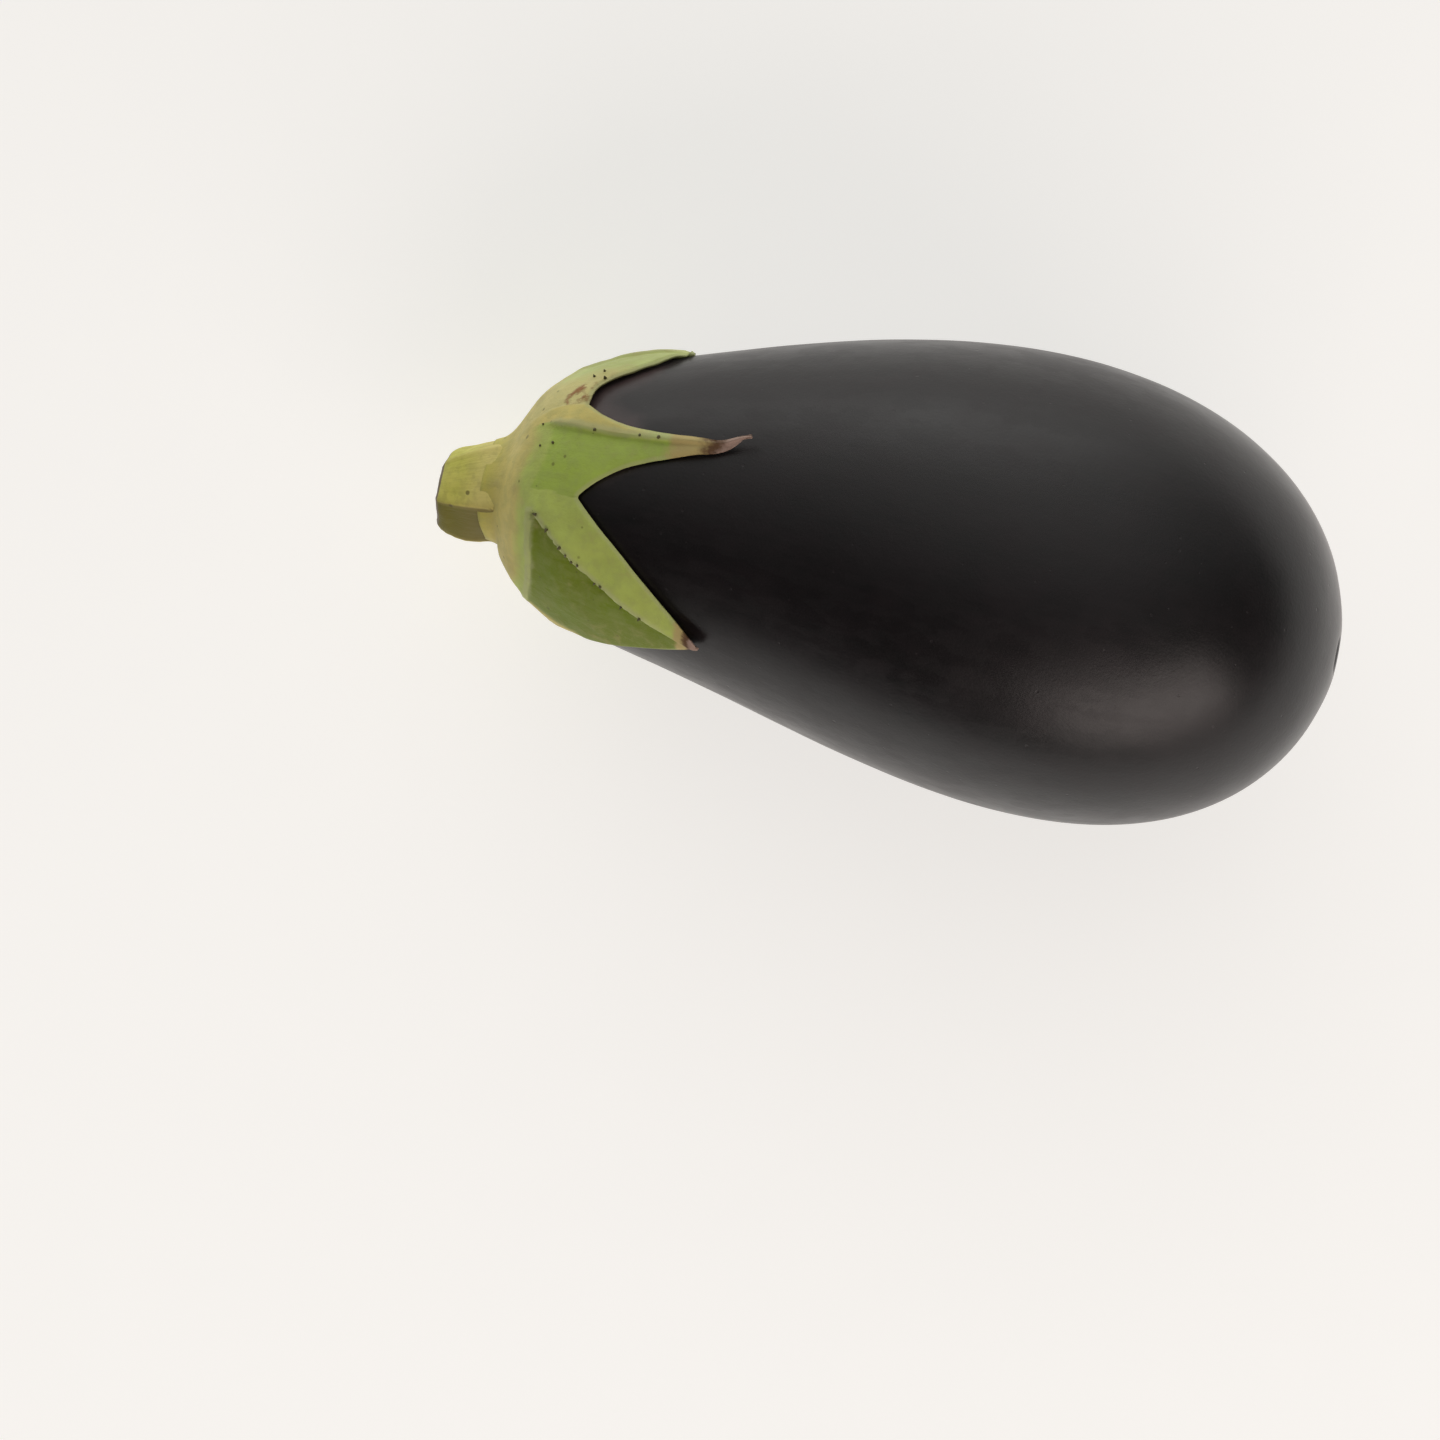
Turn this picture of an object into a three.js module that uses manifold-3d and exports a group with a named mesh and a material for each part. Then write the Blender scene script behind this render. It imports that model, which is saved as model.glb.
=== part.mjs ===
// An eggplant as picked, lying on its side: the fruit, the five-lobed calyx that caps its
// shoulder, and the short cut stem. The unit is the millimetre.
//
// Each piece is first shaped about the fruit's own axis: the crown, where the stem joins, is at
// the origin, +X runs to the blossom end, and azimuth 0 is +Y and turns towards +Z. The whole is
// then laid down, so that it rests on a small flat spot under its belly, with +Z up and the origin
// under the middle of its box.

import * as THREE from "three";
import { mergeVertices } from "three/addons/utils/BufferGeometryUtils.js";
import Module from "manifold-3d";

// Driving dimensions of the fruit
const FRUIT_LENGTH = 150.5; // crown to blossom end
const NECK = 0.345; // how full the fruit is at the stem end, as a share of its length
const SWELL = 0.346; // how much fuller it grows towards the blossom end
const SHOULDER = 0.391; // extra fullness of the shoulder, at the crown
const SHOULDER_REACH = 0.1; // share of the length over which the shoulder fades
const BOW = 3.4; // how far the middle line bows towards +Y
const SHRUG = 1.6; // how far the shoulder is set over towards +Y
const SHRUG_PLACE = 0.03; // share of the length at which it is set over the most
const SCAR_DIP = 0.4; // how far the blossom end dips in at its scar

// How it lies
const LEAN_DEG = 8; // the stem end sinks by this angle, so that the weight is over the flat spot
const FLAT_DEPTH = 0.7; // how much the belly is flattened where it rests

// Driving dimensions of the calyx. Latitude is 0 at the crown and 180 at the blossom end.
const SKIN_GAP = 0.35; // clearance between the calyx and the fruit
const LEAF_THICKNESS = 1.5; // of a lobe, near its root
const TIP_THICKNESS = 0.9; // of a lobe, at its tip
const THINNING_LATITUDE = 30; // a lobe starts to thin here
const THINNED_LATITUDE = 45; // and has thinned by here, or by its margin where that is further
const COLLAR_RISE = 4.6; // extra thickness of the collar round the stem
const COLLAR_LATITUDE = 10; // where the collar's slope meets the outside of the cap
const COLLAR_FADE_DEG = 8; // latitude over which that extra thickness fades
const LOBES = [
  // azimuth and latitude of the notch before a lobe and of its tip, and how slender the tip is
  { notch: -38, parting: 33, tip: 12, reach: 54, slender: 1.3 },
  { notch: 52, parting: 35, tip: 70, reach: 66.5, slender: 3 },
  { notch: 94, parting: 37.5, tip: 140, reach: 64, slender: 1.2 },
  { notch: 178, parting: 33, tip: 213, reach: 57, slender: 1.6 },
  { notch: 248, parting: 33.5, tip: 285, reach: 58, slender: 1.8 },
];

// Driving dimensions of the stem
const JOINT_X = -4.2; // where the collar ends and the stem begins
const JOINT_RADIUS = 9.3;
const JOINT_GAP = 0.3;
const STEM_LENGTH = 9; // joint to the middle of the cut
const STEM_END_RADIUS = 7.4; // before the worn rim of the cut
const STEM_LEAN = 1.7; // sideways run of the stem's middle line, towards -Y
const RIM_WEAR = 1.6; // how far the rim of the cut is rounded
const CUT_SLANT = 0.1; // slope of the cut across the stem
const STEM_RIBS = 5;
const RIB_HEIGHT = 0.45;

// Fineness of the faceting
const FRUIT_RINGS = 34;
const FRUIT_SECTORS = 52;
const LOBE_COLUMNS = 6; // on each side of a lobe's midrib
const TIP_CROWDING = 1.4; // 1 spaces those columns evenly, and more crowds them at the tip
const LEAF_ROWS = 9;
const STEM_SECTORS = 40;
const STEM_ROWS = 6;
const RIM_TURNS = [30, 60, 90]; // turns of the worn rim's rounding, in degrees
const SLOPE_STEP = 0.05; // step of latitude for finding the skin's slope

const degrees = THREE.MathUtils.degToRad;

/** Share of the fruit's length at a latitude in degrees. */
function shareAt(latitude) {
  return (1 - Math.cos(degrees(latitude))) / 2;
}

/** Radius of the fruit at a latitude in degrees. */
function fruitRadius(latitude) {
  const share = shareAt(latitude);
  const fullness = NECK + SWELL * share + SHOULDER * Math.exp(-share / SHOULDER_REACH);
  return FRUIT_LENGTH * fullness * Math.sqrt(share * (1 - share));
}

/** Sideways place of the fruit's middle line: its bow peaks a third of the way along. */
function middleLine(share) {
  const bow = (BOW * 27 * share * (1 - share) ** 2) / 4;
  return bow + (SHRUG * share * Math.exp(1 - share / SHRUG_PLACE)) / SHRUG_PLACE;
}

/** A point above the fruit's skin: latitude and azimuth in degrees, lift along the normal. */
function abovePoint(latitude, azimuth, lift) {
  const before = Math.max(latitude - SLOPE_STEP, 0);
  const after = Math.min(latitude + SLOPE_STEP, 180);
  const along = FRUIT_LENGTH * (shareAt(after) - shareAt(before));
  const outward = fruitRadius(after) - fruitRadius(before);
  const slope = Math.hypot(along, outward);
  const share = shareAt(latitude);
  const x = FRUIT_LENGTH * share - (lift * outward) / slope;
  const radius = fruitRadius(latitude) + (lift * along) / slope;
  const turn = degrees(azimuth);
  return new THREE.Vector3(
    x,
    middleLine(share) + radius * Math.cos(turn),
    radius * Math.sin(turn),
  );
}

/**
 * A closed surface through rings of equal count. The first and the last ring are closed with a
 * fan round their middle. Rings run so that their azimuth grows.
 */
function loft(rings) {
  const count = rings[0].length;
  const points = rings.flat();
  const faces = [];
  for (let row = 0; row + 1 < rings.length; row += 1) {
    for (let column = 0; column < count; column += 1) {
      const next = (column + 1) % count;
      const [a, b] = [row * count + column, row * count + next];
      const [c, d] = [a + count, b + count];
      faces.push(a, b, c, b, d, c);
    }
  }
  const middle = (ring) =>
    ring.reduce((sum, point) => sum.add(point), new THREE.Vector3()).divideScalar(ring.length);
  const first = points.push(middle(rings[0])) - 1;
  const last = points.push(middle(rings.at(-1))) - 1;
  const lastRow = (rings.length - 1) * count;
  for (let column = 0; column < count; column += 1) {
    const next = (column + 1) % count;
    faces.push(first, next, column);
    faces.push(last, lastRow + column, lastRow + next);
  }
  return new THREE.BufferGeometry().setFromPoints(points).setIndex(faces);
}

/** The whole fruit, round, before it is laid down. */
function fruitGeometry() {
  const rings = [];
  for (let row = 1; row < FRUIT_RINGS; row += 1) {
    const latitude = (180 * row) / FRUIT_RINGS;
    const ring = [];
    for (let sector = 0; sector < FRUIT_SECTORS; sector += 1) {
      ring.push(abovePoint(latitude, (360 * sector) / FRUIT_SECTORS, 0));
    }
    rings.push(ring);
  }
  const geometry = loft(rings);
  const position = geometry.attributes.position;
  // The two middles that close the fruit: the crown, and the blossom end with its dip
  position.setX(position.count - 2, 0);
  position.setX(position.count - 1, FRUIT_LENGTH - SCAR_DIP);
  return geometry;
}

/** Where the calyx ends: its columns, each with an azimuth and the latitude of its margin. */
function calyxColumns() {
  const columns = [];
  LOBES.forEach((lobe, index) => {
    const next = LOBES[(index + 1) % LOBES.length];
    const nextNotch = index + 1 < LOBES.length ? next.notch : next.notch + 360;
    const side = (notch, parting, step) => {
      const towardsTip = 1 - (1 - step / LOBE_COLUMNS) ** TIP_CROWDING;
      columns.push({
        azimuth: notch + (lobe.tip - notch) * towardsTip,
        margin: parting + (lobe.reach - parting) * towardsTip ** lobe.slender,
      });
    };
    for (let step = 0; step < LOBE_COLUMNS; step += 1) {
      side(lobe.notch, lobe.parting, step);
    }
    for (let step = LOBE_COLUMNS; step > 0; step -= 1) {
      side(nextNotch, next.parting, step);
    }
  });
  return columns;
}

/** Thickness of the calyx at a latitude, on a column that ends at the given margin. */
function leafThickness(latitude, margin) {
  const thinned = Math.max(margin, THINNED_LATITUDE);
  const thinning = THREE.MathUtils.smoothstep(latitude, THINNING_LATITUDE, thinned);
  const leaf = THREE.MathUtils.lerp(LEAF_THICKNESS, TIP_THICKNESS, thinning);
  return leaf + COLLAR_RISE * Math.exp(-latitude / COLLAR_FADE_DEG);
}

/** The calyx: a fleshy cap with a collar round the stem, and five lobes that lie on the fruit. */
function calyxGeometry() {
  const columns = calyxColumns();
  const rings = [];
  rings.push(
    columns.map(({ azimuth }) => {
      const turn = degrees(azimuth);
      return new THREE.Vector3(
        JOINT_X,
        JOINT_RADIUS * Math.cos(turn),
        JOINT_RADIUS * Math.sin(turn),
      );
    }),
  );
  const outer = (row, { azimuth, margin }) => {
    const latitude = COLLAR_LATITUDE + ((margin - COLLAR_LATITUDE) * row) / LEAF_ROWS;
    return abovePoint(latitude, azimuth, SKIN_GAP + leafThickness(latitude, margin));
  };
  const inner = (row, { azimuth, margin }) => {
    const latitude = (margin * row) / LEAF_ROWS;
    return abovePoint(latitude, azimuth, SKIN_GAP);
  };
  for (let row = 0; row <= LEAF_ROWS; row += 1) {
    rings.push(columns.map((column) => outer(row, column)));
  }
  for (let row = LEAF_ROWS; row > 0; row -= 1) {
    rings.push(columns.map((column) => inner(row, column)));
  }
  const geometry = loft(rings);
  const position = geometry.attributes.position;
  position.setXYZ(position.count - 1, -SKIN_GAP, 0, 0); // the inside, over the crown
  return geometry;
}

/** The stem: a blunt stub with soft ribs, leaning a little, its cut slanted and worn at the rim. */
function stemGeometry() {
  const base = JOINT_X - JOINT_GAP;
  const ringAt = (share, radius, inset) => {
    const ring = [];
    for (let sector = 0; sector < STEM_SECTORS; sector += 1) {
      const turn = (2 * Math.PI * sector) / STEM_SECTORS;
      const rib = RIB_HEIGHT * Math.cos(STEM_RIBS * (turn - degrees(LOBES[1].tip)));
      const reach = radius + rib - inset;
      const y = reach * Math.cos(turn);
      const slant = CUT_SLANT * share * y;
      ring.push(
        new THREE.Vector3(
          base - STEM_LENGTH * share + slant,
          y - STEM_LEAN * share,
          reach * Math.sin(turn),
        ),
      );
    }
    return ring;
  };
  const rings = [];
  const straight = 1 - RIM_WEAR / STEM_LENGTH;
  for (let row = 0; row <= STEM_ROWS; row += 1) {
    const share = (straight * row) / STEM_ROWS;
    rings.push(ringAt(share, THREE.MathUtils.lerp(JOINT_RADIUS, STEM_END_RADIUS, share), RIB_HEIGHT));
  }
  for (const turn of RIM_TURNS) {
    const share = straight + (RIM_WEAR / STEM_LENGTH) * Math.sin(degrees(turn));
    const inset = RIB_HEIGHT + RIM_WEAR * (1 - Math.cos(degrees(turn)));
    rings.push(ringAt(share, STEM_END_RADIUS, inset));
  }
  return loft(rings.reverse());
}

/** A geometry as a manifold-3d solid. */
function toSolid(wasm, geometry) {
  const bare = mergeVertices(geometry);
  return new wasm.Manifold(
    new wasm.Mesh({
      numProp: 3,
      vertProperties: new Float32Array(bare.attributes.position.array),
      triVerts: new Uint32Array(bare.index.array),
    }),
  );
}

/** A manifold-3d solid as a geometry. */
function toGeometry(solid) {
  const mesh = solid.getMesh();
  const geometry = new THREE.BufferGeometry();
  geometry.setAttribute("position", new THREE.BufferAttribute(mesh.vertProperties, 3));
  return geometry.setIndex(new THREE.BufferAttribute(mesh.triVerts, 1));
}

/** Cuts off what lies below z = 0. */
function flattenBelow(wasm, geometry) {
  const size = 2 * FRUIT_LENGTH;
  const block = new THREE.BoxGeometry(2 * size, 2 * size, size).translate(0, 0, -size / 2);
  block.deleteAttribute("normal");
  block.deleteAttribute("uv");
  return toGeometry(toSolid(wasm, geometry).subtract(toSolid(wasm, block)));
}

const wasm = await Module();
wasm.setup();

const fruit = fruitGeometry();
const calyx = calyxGeometry();
const stem = stemGeometry();
const pieces = [fruit, calyx, stem];

// Lay it down: lean it, sink it until the flat spot reaches z = 0, and centre it.
for (const geometry of pieces) {
  geometry.rotateY(-degrees(LEAN_DEG));
}
fruit.computeBoundingBox();
const sink = -fruit.boundingBox.min.z - FLAT_DEPTH;
const whole = new THREE.Box3();
for (const geometry of pieces) {
  geometry.translate(0, 0, sink);
  geometry.computeBoundingBox();
  whole.union(geometry.boundingBox);
}
const middle = whole.getCenter(new THREE.Vector3());
for (const geometry of pieces) {
  geometry.translate(-middle.x, -middle.y, 0);
}
const restingFruit = flattenBelow(wasm, fruit);

const skin = new THREE.MeshStandardMaterial({ color: 0x1b1219, roughness: 0.25, metalness: 0 });
const leaf = new THREE.MeshStandardMaterial({ color: 0x93a155, roughness: 0.6, metalness: 0 });
const stalk = new THREE.MeshStandardMaterial({ color: 0x97924a, roughness: 0.7, metalness: 0 });

const eggplant = new THREE.Group();
for (const [name, geometry, material] of [
  ["fruit", restingFruit, skin],
  ["calyx", calyx, leaf],
  ["stem", stem, stalk],
]) {
  geometry.computeVertexNormals();
  const mesh = new THREE.Mesh(geometry, material);
  mesh.name = name;
  eggplant.add(mesh);
}

export default eggplant;
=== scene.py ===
import math
import random

import bmesh
import bpy
import numpy as np
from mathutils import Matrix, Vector
from mathutils.kdtree import KDTree

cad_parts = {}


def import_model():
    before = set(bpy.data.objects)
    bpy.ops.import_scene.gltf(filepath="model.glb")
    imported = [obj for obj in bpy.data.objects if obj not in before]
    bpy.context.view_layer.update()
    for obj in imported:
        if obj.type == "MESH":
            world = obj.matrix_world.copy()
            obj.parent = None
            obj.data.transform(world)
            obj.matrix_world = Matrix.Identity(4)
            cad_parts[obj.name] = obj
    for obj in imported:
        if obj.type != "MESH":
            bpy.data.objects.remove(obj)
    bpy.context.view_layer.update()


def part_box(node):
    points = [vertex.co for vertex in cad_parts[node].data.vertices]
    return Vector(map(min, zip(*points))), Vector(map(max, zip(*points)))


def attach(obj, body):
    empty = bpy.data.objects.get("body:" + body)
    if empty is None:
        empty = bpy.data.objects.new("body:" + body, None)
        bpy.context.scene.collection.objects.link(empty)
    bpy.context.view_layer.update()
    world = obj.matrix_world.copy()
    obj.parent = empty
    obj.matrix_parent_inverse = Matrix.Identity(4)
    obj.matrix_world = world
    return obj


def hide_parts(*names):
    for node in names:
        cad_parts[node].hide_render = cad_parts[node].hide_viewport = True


# An eggplant as picked, lying on its side: the fruit, the five-lobed calyx that caps its shoulder,
# and the short cut stem. Each piece is shaped about the fruit's own axis, with the crown, where the
# stem joins, at the origin and +X running to the blossom end. Azimuth 0 is +Y and turns towards +Z.
# Latitude is 0 at the crown and 180 at the blossom end. The pieces are then laid down in the frame.

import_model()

MM = 0.001

# The fruit
FRUIT_LENGTH = 150.5 * MM
NECK = 0.345  # how full the fruit is at the stem end, as a share of its length
SWELL = 0.346  # how much fuller it grows towards the blossom end
SHOULDER = 0.391  # extra fullness of the shoulder, at the crown
SHOULDER_REACH = 0.1  # share of the length over which that fades
BOW = 3.4 * MM  # how far the middle line bows towards +Y
SHRUG = 1.6 * MM  # how far the shoulder is set over towards +Y
SHRUG_PLACE = 0.03  # share of the length where it is set over most
LEAN = math.radians(8)  # how much the axis rises towards the fuller end, as it lies
FRUIT_COLUMNS = 48
FRUIT_LATITUDES = [4, 8] + list(range(14, 170, 6)) + [171, 174.5]

# The calyx
COLLAR_X = -4.2 * MM
COLLAR_RADIUS = 9.6 * MM
CALYX_COLUMNS = 180
ROOT_LATITUDE = 34.2  # where the lobes start
LOBE_ROWS = 24
LEAF_LIFT = 1.25 * MM  # top of a lobe above the skin
LEAF_THICKNESS = 0.95 * MM

# The stem
STEM_RIDGES = 5
FIRST_RIDGE = 44  # azimuth of the first ridge, in degrees
STEM_COLUMNS = 40
STEM_DRIFT = 1.9 * MM  # sideways run of the stem's middle line, towards -Y
# The flat sides between its ridges: the azimuth of the middle, and the depth in millimetres
STEM_SIDES = ((8, 0.7), (80, 0.6), (152, 1.4), (224, 1.0), (296, 1.0))
DEEPEST_SIDE = 1.5
# Along the bark, round the rim and over the cut face: how far from the crown, and the radius
STEM_RINGS = (
    (2.6, 9.7), (4.2, 9.5), (6.0, 9.2), (7.8, 8.8), (9.4, 8.4), (10.9, 7.95),
    (11.9, 7.5), (12.7, 6.95), (13.15, 6.35), (13.3, 5.7), (13.15, 5.1), (13.0, 4.3),
    (12.9, 3.2), (12.95, 2.2), (13.05, 1.1),
)

# The stage
FLOOR_SIZE = 6
FLOOR_GLOW = 0.65
ROOM_GLOW = 0.028  # light from all round
# Soft glows in the room: the direction, the sharpness and the strength
GLOWS = (
    ((-0.35, 1, 0), 8, 1.5),  # a wide low window on the +Y side
    ((-0.2, 1, 0.1), 1.5, 0.55),  # the wall round it
    ((-0.15, 0.5, 1), 3.5, 0.46),  # the ceiling
)
CAMERA_LENS = 163
CAMERA_ROLL = math.radians(11.42)
CAMERA_PLACE = (44.22 * MM, -32.8 * MM)  # along X and Y from the crown
CAMERA_HEIGHT = 1.2


class Lobe:
    """A lobe of the calyx, between two notches. Angles are in degrees."""

    def __init__(self, start, end, tip, reach):
        self.start = start  # azimuth of the notch before it
        self.end = end  # azimuth of the notch after it
        self.tip = tip  # azimuth of its tip
        self.reach = reach  # latitude of its tip

    def outline(self, spear, taper, flare):
        self.spear = spear  # half width of the slender part
        self.taper = taper  # how the slender part narrows
        self.flare = flare  # how fast the broad root gives way to the slender part

    def ridge(self, keel_start, swirl, crest):
        self.keel_start = keel_start  # azimuth where its keel leaves the collar
        self.swirl = swirl  # how soon the keel turns towards the tip
        self.crest = crest  # height of the keel

    def flesh(self, opening, softness, tan, dark, pale=0.0, pale_end=8 * MM):
        self.opening = opening  # latitude at which its panel opens, beyond the collar
        self.softness = softness  # degrees of latitude over which it opens
        self.tan = tan  # how tan the band before its keel is
        self.dark = dark  # how dark the panel after its keel is: partly its own darker green, partly painted shade on the side turned from the light
        self.pale = pale  # how pale and fuzzy it is all over
        self.pale_end = pale_end  # how far the tan of the next lobe runs into its panel

    def end_tip(self, dry, smoothing=8):
        self.dry = dry  # degrees of latitude over which its tip is dried
        self.smoothing = smoothing  # how often the tip is smoothed over

    def holds(self, azimuth):
        """Whether an azimuth is between its two notches."""
        return turned_from(self.start, azimuth) <= self.end - self.start

    def half_width(self, along):
        """Half width at a share of the way from the root to the tip."""
        root = (self.end - self.start) / 2
        slender = self.spear * (1 - along) ** self.taper
        return slender + (root - self.spear) * (1 - along) ** self.flare

    def middle(self, along):
        """Azimuth of the middle of the lobe."""
        base = (self.start + self.end) / 2
        return base + (self.tip - base) * along

    def keel(self, latitude):
        """Azimuth of the keel, which swirls on its way to the tip."""
        along = np.clip((latitude - self.opening) / (self.reach - self.opening), 0, 1)
        return self.tip - (self.tip - self.keel_start) * (1 - along) ** self.swirl


BACK_LOBE = Lobe(start=-38, end=52, tip=8, reach=51)
BACK_LOBE.outline(spear=32.5, taper=0.5, flare=12.0)
BACK_LOBE.ridge(keel_start=2, swirl=1.8, crest=0.35 * MM)
BACK_LOBE.flesh(opening=25, softness=4, tan=0.1, dark=0.0, pale=1.0, pale_end=17 * MM)
BACK_LOBE.end_tip(dry=0, smoothing=80)

SLENDER_LOBE = Lobe(start=52, end=94, tip=70, reach=67)
SLENDER_LOBE.outline(spear=6.3, taper=0.65, flare=3.5)
SLENDER_LOBE.ridge(keel_start=59, swirl=2.2, crest=0.7 * MM)
SLENDER_LOBE.flesh(opening=23.5, softness=3.5, tan=1.0, dark=0.15)
SLENDER_LOBE.end_tip(dry=15)

BROAD_LOBE = Lobe(start=94, end=178, tip=140, reach=64)
BROAD_LOBE.outline(spear=42, taper=0.93, flare=1.0)
BROAD_LOBE.ridge(keel_start=101, swirl=1.4, crest=1.1 * MM)
BROAD_LOBE.flesh(opening=25, softness=1.5, tan=0.12, dark=1.0)
BROAD_LOBE.end_tip(dry=5)

FRONT_LOBE = Lobe(start=178, end=248, tip=213, reach=57)
FRONT_LOBE.outline(spear=10, taper=0.8, flare=2.2)
FRONT_LOBE.ridge(keel_start=192, swirl=1.4, crest=0.9 * MM)
FRONT_LOBE.flesh(opening=25, softness=2.5, tan=0.9, dark=0.8)
FRONT_LOBE.end_tip(dry=5)

UNDER_LOBE = Lobe(start=248, end=322, tip=285, reach=58)
UNDER_LOBE.outline(spear=9, taper=0.8, flare=2.4)
UNDER_LOBE.ridge(keel_start=264, swirl=1.4, crest=0.8 * MM)
UNDER_LOBE.flesh(opening=25, softness=4, tan=0.6, dark=0.6)
UNDER_LOBE.end_tip(dry=5)

LOBES = [BACK_LOBE, SLENDER_LOBE, BROAD_LOBE, FRONT_LOBE, UNDER_LOBE]

# Notches that are set out towards the tips: the azimuth, and how far
OUTER_NOTCHES = ((52, 0.8 * MM), (94, 3.0 * MM))


# The fruit's form


def share_at(latitude):
    return (1 - np.cos(np.radians(latitude))) / 2


def skin_radius(latitude):
    share = share_at(latitude)
    fullness = NECK + SWELL * share + SHOULDER * np.exp(-share / SHOULDER_REACH)
    return FRUIT_LENGTH * fullness * np.sqrt(share * (1 - share))


def middle_line(share):
    """Sideways place of the fruit's middle line, which bows towards +Y."""
    bow = BOW * 27 / 4 * share * (1 - share) ** 2
    return bow + SHRUG * share * np.exp(1 - share / SHRUG_PLACE) / SHRUG_PLACE


def above_skin(latitude, lift):
    """Place along X, sideways place of the middle, and radius of a ring held off the skin."""
    step = 0.05
    before, after = max(latitude - step, 0), min(latitude + step, 180)
    along = FRUIT_LENGTH * (share_at(after) - share_at(before))
    outward = skin_radius(after) - skin_radius(before)
    slope = math.hypot(along, outward)
    share = share_at(latitude)
    x = FRUIT_LENGTH * share - lift * outward / slope
    return x, middle_line(share), skin_radius(latitude) + lift * along / slope


def over_skin(latitude, azimuth, lift):
    """A point above the skin."""
    x, middle, radius = above_skin(latitude, lift)
    turn = math.radians(azimuth)
    return Vector((x, middle + radius * math.cos(turn), radius * math.sin(turn)))


def leaf_lift(latitude):
    """Height of the calyx over the skin: fleshy at the collar, thin in the lobes."""
    return LEAF_LIFT + 0.6 * MM * np.exp(-latitude / 40) + 4.4 * MM * np.exp(-latitude / 7)


SKIN_LATITUDES = np.linspace(0, 180, 721)
SKIN_X = FRUIT_LENGTH * share_at(SKIN_LATITUDES)
SKIN_R = skin_radius(SKIN_LATITUDES)


def points_of(piece):
    points = np.empty(len(piece.data.vertices) * 3)
    piece.data.vertices.foreach_get("co", points)
    return points.reshape(-1, 3)


def placed_on_skin(piece):
    """Latitude and azimuth of the skin nearest to each vertex, in degrees."""
    x, y, z = points_of(piece).T
    share = np.clip(x / FRUIT_LENGTH, 0, 1)
    y = y - middle_line(share)
    away = (x[:, None] - SKIN_X) ** 2 + (np.hypot(y, z)[:, None] - SKIN_R) ** 2
    azimuth = np.degrees(np.arctan2(z, y))
    return SKIN_LATITUDES[away.argmin(axis=1)], azimuth


def turned_from(start, azimuth):
    """Azimuth counted up from start, 0 to 360."""
    return (azimuth - start) % 360


def smooth_step(low, high, value):
    t = np.clip((value - low) / (high - low), 0, 1)
    return t * t * (3 - 2 * t)


def bump_at(value, width):
    """1 where the value is 0, fading over the width."""
    return np.exp(-((value / width) ** 2))


# Working by hand, in code


def use_only(piece):
    for thing in bpy.context.selected_objects:
        thing.select_set(False)
    piece.select_set(True)
    bpy.context.view_layer.objects.active = piece


def named(name):
    """Names the new primitive, applies its place and opens it in edit mode, all selected."""
    piece = bpy.context.active_object
    piece.name = name
    piece.data.name = name
    use_only(piece)
    bpy.ops.object.transform_apply(location=True, rotation=True, scale=True)
    bpy.ops.object.mode_set(mode="EDIT")
    bpy.ops.mesh.select_all(action="SELECT")
    return piece


def close_up(grain=1e-6):
    """Merges vertices closer than the grain, turns the faces outwards and leaves edit mode."""
    bpy.ops.mesh.select_all(action="SELECT")
    bpy.ops.mesh.remove_doubles(threshold=grain)
    bpy.ops.mesh.normals_make_consistent(inside=False)
    bpy.ops.object.mode_set(mode="OBJECT")


def pick_vertices(piece, chosen):
    """Selects the vertices for which chosen(vertex) is true, and what lies between them."""
    bpy.ops.mesh.select_all(action="DESELECT")
    mesh = bmesh.from_edit_mesh(piece.data)
    picked = [vertex for vertex in mesh.verts if chosen(vertex)]
    for vertex in picked:
        vertex.select = True
    mesh.select_flush(True)
    bmesh.update_edit_mesh(piece.data)


def draw_out(start, rings):
    """Extrudes the selected ring through others. A ring is its X, its middle's Y and its radius."""
    x, y, radius = start
    for next_x, next_y, next_radius in rings:
        bpy.ops.mesh.extrude_region_move(
            TRANSFORM_OT_translate={"value": (next_x - x, next_y - y, 0)}
        )
        size = next_radius / radius
        bpy.ops.transform.resize(value=(1, size, size), center_override=(next_x, next_y, 0))
        x, y, radius = next_x, next_y, next_radius


def pull(piece, place, value, size):
    """Pulls the vertex nearest to a place, and what is within a size of it, less and less."""
    mesh = bmesh.from_edit_mesh(piece.data)
    nearest = min(mesh.verts, key=lambda vertex: (vertex.co - place).length)
    spot = nearest.co.copy()
    pick_vertices(piece, lambda vertex: (vertex.co - spot).length < 1e-6)
    bpy.ops.transform.translate(
        value=value,
        use_proportional_edit=True,
        proportional_edit_falloff="SMOOTH",
        proportional_size=size,
    )


def modify(piece, kind, **settings):
    """Adds a modifier and applies it."""
    use_only(piece)
    modifier = piece.modifiers.new(kind.title(), kind)
    for name, value in settings.items():
        setattr(modifier, name, value)
    bpy.ops.object.modifier_apply(modifier=modifier.name)


def smooth_out(piece, levels):
    modify(piece, "SUBSURF", levels=levels, render_levels=levels)


def modify_where(piece, weights, kind, **settings):
    """Applies a modifier by a weight from 0 to 1 for each vertex."""
    group = piece.vertex_groups.new(name="where")
    for index, weight in enumerate(weights):
        if weight > 0.002:
            group.add([index], float(min(weight, 1)), "REPLACE")
    modify(piece, kind, vertex_group="where", **settings)
    piece.vertex_groups.remove(piece.vertex_groups["where"])


def raise_where(piece, weights, height):
    """Raises the surface along its normals by height times the weight, which is 0 to 1."""
    modify_where(piece, weights, "DISPLACE", strength=height, mid_level=0)


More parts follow.
